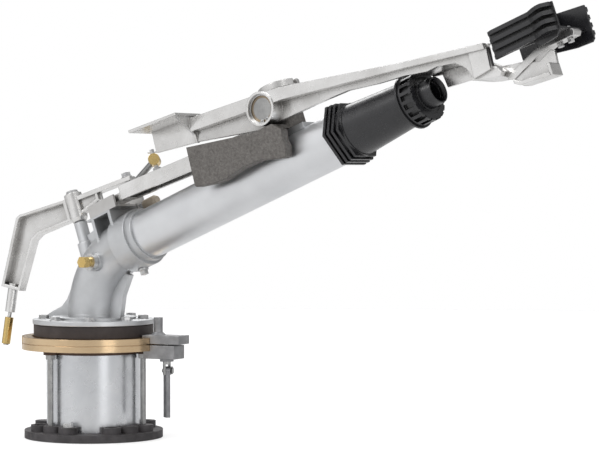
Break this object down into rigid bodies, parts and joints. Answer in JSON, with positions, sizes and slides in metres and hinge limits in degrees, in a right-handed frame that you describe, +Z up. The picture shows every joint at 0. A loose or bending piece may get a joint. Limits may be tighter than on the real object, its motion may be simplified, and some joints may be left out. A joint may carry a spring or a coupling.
{
  "type": "large impact sprinkler",
  "caption": "Large part-circle impact sprinkler: slewing base, raised barrel with nozzle, trip lever and link, swinging pivot frame and drive arm with a ribbed vane.",
  "frame": {"origin": "centre of the base flange's underside, on the swivel axis", "axes": "+Z up the swivel axis, +X the way the barrel points as seen from above, +Y to the left of the barrel"},
  "size_m": [0.9864, 0.2202, 0.5951],
  "materials": {
    "flange_iron": "dark grey cast iron, machined top",
    "zinc_steel": "bright zinc plated steel",
    "housing_steel": "bright, mottled, turned",
    "rod_steel": "stainless steel, drawn",
    "brown_plate": "dark brown coated plate",
    "ring_bronze": "turned bronze, satin",
    "seal_rubber": "black rubber",
    "race_steel": "ground bearing steel",
    "hub_dark": "dark brown grey coating",
    "cast_aluminium": "bead blasted casting",
    "barrel_aluminium": "satin anodised tube",
    "plug_brass": "machined brass",
    "black_plastic": "black moulded plastic, satin",
    "guide_steel": "folded stainless sheet",
    "bumper_urethane": "beige urethane",
    "bright_aluminium": "tumbled bright casting",
    "weight_iron": "rough grey brown cast iron",
    "bush_bronze": "sintered bronze",
    "stop_aluminium": "dull cast aluminium",
    "handle_steel": "flat steel bar"
  },
  "bodies": {
    "base": {"base_flange": "flange_iron", "flange_screws": "zinc_steel", "bearing_housing": "housing_steel", "tie_rods": "rod_steel", "tie_rod_nuts": "rod_steel", "retainer_plate": "brown_plate", "trip_ring": "ring_bronze", "lower_seal": "seal_rubber", "bearing_outer_races": "race_steel", "bearing_spacer": "race_steel"},
    "swivel": {"swivel_sleeve": "rod_steel", "bearing_inner_races": "race_steel", "bearing_balls": "race_steel", "hub_ring": "hub_dark", "flange_gasket": "seal_rubber", "elbow": "cast_aluminium", "elbow_bolts": "zinc_steel", "side_coupling": "zinc_steel", "brass_plug": "plug_brass", "belly_plug": "zinc_steel", "barrel_tube": "barrel_aluminium", "stream_straightener": "barrel_aluminium", "nozzle_nut": "black_plastic", "nozzle_cone": "black_plastic", "nozzle_cap": "black_plastic", "nozzle_ring": "black_plastic", "pivot_post": "cast_aluminium", "post_cap": "zinc_steel", "guide_channel": "guide_steel", "guide_screws": "zinc_steel", "travel_bumper": "bumper_urethane", "bumper_bolt": "zinc_steel", "pivot_pedestal": "cast_aluminium"},
    "trip_lever": {"trip_lever": "bright_aluminium", "lever_bolt": "zinc_steel"},
    "roller": {"trip_roller": "plug_brass"},
    "link": {"link_rod": "rod_steel", "brass_swivel": "plug_brass", "link_pin": "zinc_steel"},
    "pivot_frame": {"tiller_bar": "bright_aluminium", "pivot_weight": "weight_iron", "pivot_cap": "bright_aluminium", "arm_shaft": "rod_steel"},
    "drive_arm": {"drive_arm": "bright_aluminium", "arm_bushing": "bush_bronze", "arm_circlip": "zinc_steel", "drive_vane": "black_plastic", "vane_screws": "zinc_steel"},
    "stop_a": {"stop_a_jaws": "stop_aluminium", "stop_a_lower_jaw": "stop_aluminium", "stop_a_screw": "rod_steel"},
    "handle_a": {"stop_a_handle": "handle_steel"},
    "stop_b": {"stop_b_jaws": "stop_aluminium", "stop_b_lower_jaw": "stop_aluminium", "stop_b_screw": "rod_steel"},
    "handle_b": {"stop_b_handle": "handle_steel"}
  },
  "joints": [
    {"name": "swivel_turn", "type": "hinge", "parent": "base", "child": "swivel", "pos_m": [0, 0, 0.09], "axis": [0, 0, 1], "range_deg": [-45, 165]},
    {"name": "lever_trip", "type": "hinge", "parent": "swivel", "child": "trip_lever", "pos_m": [-0.03538, 0, 0.33261], "axis": [-0.3584, 0, 0.9336], "range_deg": [-24, 0]},
    {"name": "roller_spin", "type": "hinge", "parent": "trip_lever", "child": "roller", "pos_m": [-0.14184, -0.03502, 0.15018], "axis": [0.0936, 0.0941, 0.9912], "continuous": true},
    {"name": "link_swing", "type": "hinge", "parent": "trip_lever", "child": "link", "pos_m": [0.05182, 0.01969, 0.36394], "axis": [-0.3584, 0, 0.9336], "range_deg": [0, 60.8]},
    {"name": "frame_swing", "type": "hinge", "parent": "swivel", "child": "pivot_frame", "pos_m": [0.36188, 0, 0.46689], "axis": [-0.3584, 0, 0.9336], "range_deg": [-4, 0]},
    {"name": "arm_pitch", "type": "hinge", "parent": "pivot_frame", "child": "drive_arm", "pos_m": [0.3617, 0, 0.46736], "axis": [0.0326, -0.9994, 0.0125], "range_deg": [0, 6]},
    {"name": "stop_a_shift", "type": "hinge", "parent": "base", "child": "stop_a", "pos_m": [0, 0, 0.137], "axis": [0, 0, 1], "range_deg": [-30, 60]},
    {"name": "handle_a_fold", "type": "hinge", "parent": "stop_a", "child": "handle_a", "pos_m": [0.11911, 0.02641, 0.1], "axis": [0.4617, 0.887, 0], "range_deg": [-90, 90]},
    {"name": "stop_b_shift", "type": "hinge", "parent": "base", "child": "stop_b", "pos_m": [0, 0, 0.137], "axis": [0, 0, 1], "range_deg": [-50, 30]},
    {"name": "handle_b_fold", "type": "hinge", "parent": "stop_b", "child": "handle_b", "pos_m": [-0.08627, 0.08627, 0.1], "axis": [-0.9962, -0.0872, 0], "range_deg": [-90, 90]}
  ],
  "couplings": [
    {"joint": "link_swing", "follows": "lever_trip", "ratio": -2.5333},
    {"joint": "frame_swing", "follows": "lever_trip", "ratio": 0.16667}
  ]
}
